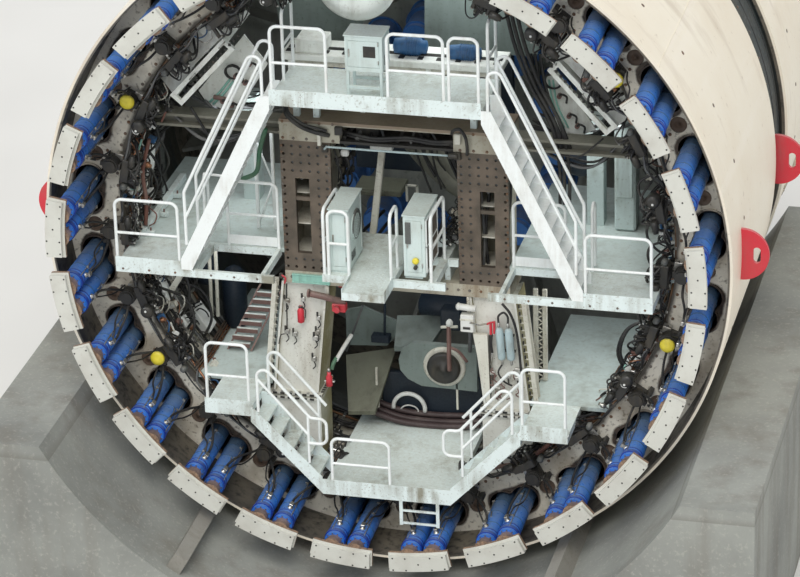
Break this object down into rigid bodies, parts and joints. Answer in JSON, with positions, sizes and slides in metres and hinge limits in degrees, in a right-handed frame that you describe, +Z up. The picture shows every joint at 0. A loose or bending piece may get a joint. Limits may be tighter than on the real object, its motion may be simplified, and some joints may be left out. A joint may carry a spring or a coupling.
{
  "type": "tunnel boring machine shield with cutterhead",
  "caption": "Round steel shield of a tunnel boring machine with a ring of twin thrust cylinders, access decks and a turning cutterhead, lying in its launch cradle.",
  "frame": {"origin": "on the underside of the launch cradle, in the middle plane, below the plane of the retracted thrust shoes' faces", "axes": "+Y the way the machine drives, +X to the right seen from behind, +Z up"},
  "size_m": [11.6, 10.4598, 11.11],
  "materials": {
    "cream_steel": "satin cream paint, dusty",
    "wall_white": "white paint with grime",
    "cylinder_blue": "glossy blue paint, dusty",
    "band_dark": "dark primer",
    "frame_cream": "cream paint with rust marks",
    "flange_brown": "bare machined plate, rusty brown",
    "deck_white": "white paint, scuffed",
    "rail_white": "white gloss paint",
    "cabinet_white": "pale powder coat",
    "deck_green": "pale green-grey deck paint",
    "unit_dark": "oily dark metal",
    "lug_red": "red paint",
    "cradle_concrete": "cast concrete, stained",
    "guide_steel": "worn steel",
    "head_cream": "cream paint",
    "cutter_steel": "hardened steel",
    "shoe_pad": "cream-white pad on a steel plate"
  },
  "bodies": {
    "root": {"rear_skin": "cream_steel", "thrust_ring": "wall_white", "cylinder_barrels": "cylinder_blue", "joint_band": "band_dark", "front_skin": "cream_steel", "bulkhead": "wall_white", "main_drive": "wall_white", "man_lock": "wall_white", "portal_frame": "frame_cream", "flange_plates": "flange_brown", "lower_columns": "frame_cream", "roof_panels": "wall_white", "top_platform": "deck_white", "top_rails": "rail_white", "top_cabinet": "cabinet_white", "mid_platforms": "deck_white", "mid_rails": "rail_white", "side_decks": "deck_green", "upper_stairs": "deck_white", "upper_stair_rails": "rail_white", "centre_platform": "deck_white", "centre_rails": "rail_white", "centre_cabinets": "cabinet_white", "lower_landings": "deck_white", "lower_rails": "rail_white", "lower_stairs": "deck_white", "bottom_platform": "deck_white", "bottom_rails": "rail_white", "ring_units": "unit_dark", "lifting_lugs": "lug_red", "launch_cradle": "cradle_concrete", "cradle_rails": "guide_steel"},
    "cutterhead": {"cutterhead_frame": "head_cream", "cutterhead_cutters": "cutter_steel"},
    "thrust_shoe_01": {"shoe_01": "shoe_pad"},
    "thrust_shoe_02": {"shoe_02": "shoe_pad"},
    "thrust_shoe_03": {"shoe_03": "shoe_pad"},
    "thrust_shoe_04": {"shoe_04": "shoe_pad"},
    "thrust_shoe_05": {"shoe_05": "shoe_pad"},
    "thrust_shoe_06": {"shoe_06": "shoe_pad"},
    "thrust_shoe_07": {"shoe_07": "shoe_pad"},
    "thrust_shoe_08": {"shoe_08": "shoe_pad"},
    "thrust_shoe_09": {"shoe_09": "shoe_pad"},
    "thrust_shoe_10": {"shoe_10": "shoe_pad"},
    "thrust_shoe_11": {"shoe_11": "shoe_pad"},
    "thrust_shoe_12": {"shoe_12": "shoe_pad"},
    "thrust_shoe_13": {"shoe_13": "shoe_pad"},
    "thrust_shoe_14": {"shoe_14": "shoe_pad"},
    "thrust_shoe_15": {"shoe_15": "shoe_pad"},
    "thrust_shoe_16": {"shoe_16": "shoe_pad"},
    "thrust_shoe_17": {"shoe_17": "shoe_pad"},
    "thrust_shoe_18": {"shoe_18": "shoe_pad"},
    "thrust_shoe_19": {"shoe_19": "shoe_pad"},
    "thrust_shoe_20": {"shoe_20": "shoe_pad"},
    "thrust_shoe_21": {"shoe_21": "shoe_pad"},
    "thrust_shoe_22": {"shoe_22": "shoe_pad"},
    "thrust_shoe_23": {"shoe_23": "shoe_pad"},
    "thrust_shoe_24": {"shoe_24": "shoe_pad"},
    "thrust_shoe_25": {"shoe_25": "shoe_pad"}
  },
  "joints": [
    {"name": "cutterhead_spin", "type": "hinge", "parent": "root", "child": "cutterhead", "pos_m": [0, 8.5, 5.95], "axis": [0, 1, 0], "continuous": true},
    {"name": "thrust_01", "type": "slide", "parent": "root", "child": "thrust_shoe_01", "axis": [0, -1, 0], "range_m": [0, 2]},
    {"name": "thrust_02", "type": "slide", "parent": "root", "child": "thrust_shoe_02", "axis": [0, -1, 0], "range_m": [0, 2]},
    {"name": "thrust_03", "type": "slide", "parent": "root", "child": "thrust_shoe_03", "axis": [0, -1, 0], "range_m": [0, 2]},
    {"name": "thrust_04", "type": "slide", "parent": "root", "child": "thrust_shoe_04", "axis": [0, -1, 0], "range_m": [0, 2]},
    {"name": "thrust_05", "type": "slide", "parent": "root", "child": "thrust_shoe_05", "axis": [0, -1, 0], "range_m": [0, 2]},
    {"name": "thrust_06", "type": "slide", "parent": "root", "child": "thrust_shoe_06", "axis": [0, -1, 0], "range_m": [0, 2]},
    {"name": "thrust_07", "type": "slide", "parent": "root", "child": "thrust_shoe_07", "axis": [0, -1, 0], "range_m": [0, 2]},
    {"name": "thrust_08", "type": "slide", "parent": "root", "child": "thrust_shoe_08", "axis": [0, -1, 0], "range_m": [0, 2]},
    {"name": "thrust_09", "type": "slide", "parent": "root", "child": "thrust_shoe_09", "axis": [0, -1, 0], "range_m": [0, 2]},
    {"name": "thrust_10", "type": "slide", "parent": "root", "child": "thrust_shoe_10", "axis": [0, -1, 0], "range_m": [0, 2]},
    {"name": "thrust_11", "type": "slide", "parent": "root", "child": "thrust_shoe_11", "axis": [0, -1, 0], "range_m": [0, 2]},
    {"name": "thrust_12", "type": "slide", "parent": "root", "child": "thrust_shoe_12", "axis": [0, -1, 0], "range_m": [0, 2]},
    {"name": "thrust_13", "type": "slide", "parent": "root", "child": "thrust_shoe_13", "axis": [0, -1, 0], "range_m": [0, 2]},
    {"name": "thrust_14", "type": "slide", "parent": "root", "child": "thrust_shoe_14", "axis": [0, -1, 0], "range_m": [0, 2]},
    {"name": "thrust_15", "type": "slide", "parent": "root", "child": "thrust_shoe_15", "axis": [0, -1, 0], "range_m": [0, 2]},
    {"name": "thrust_16", "type": "slide", "parent": "root", "child": "thrust_shoe_16", "axis": [0, -1, 0], "range_m": [0, 2]},
    {"name": "thrust_17", "type": "slide", "parent": "root", "child": "thrust_shoe_17", "axis": [0, -1, 0], "range_m": [0, 2]},
    {"name": "thrust_18", "type": "slide", "parent": "root", "child": "thrust_shoe_18", "axis": [0, -1, 0], "range_m": [0, 2]},
    {"name": "thrust_19", "type": "slide", "parent": "root", "child": "thrust_shoe_19", "axis": [0, -1, 0], "range_m": [0, 2]},
    {"name": "thrust_20", "type": "slide", "parent": "root", "child": "thrust_shoe_20", "axis": [0, -1, 0], "range_m": [0, 2]},
    {"name": "thrust_21", "type": "slide", "parent": "root", "child": "thrust_shoe_21", "axis": [0, -1, 0], "range_m": [0, 2]},
    {"name": "thrust_22", "type": "slide", "parent": "root", "child": "thrust_shoe_22", "axis": [0, -1, 0], "range_m": [0, 2]},
    {"name": "thrust_23", "type": "slide", "parent": "root", "child": "thrust_shoe_23", "axis": [0, -1, 0], "range_m": [0, 2]},
    {"name": "thrust_24", "type": "slide", "parent": "root", "child": "thrust_shoe_24", "axis": [0, -1, 0], "range_m": [0, 2]},
    {"name": "thrust_25", "type": "slide", "parent": "root", "child": "thrust_shoe_25", "axis": [0, -1, 0], "range_m": [0, 2]}
  ]
}
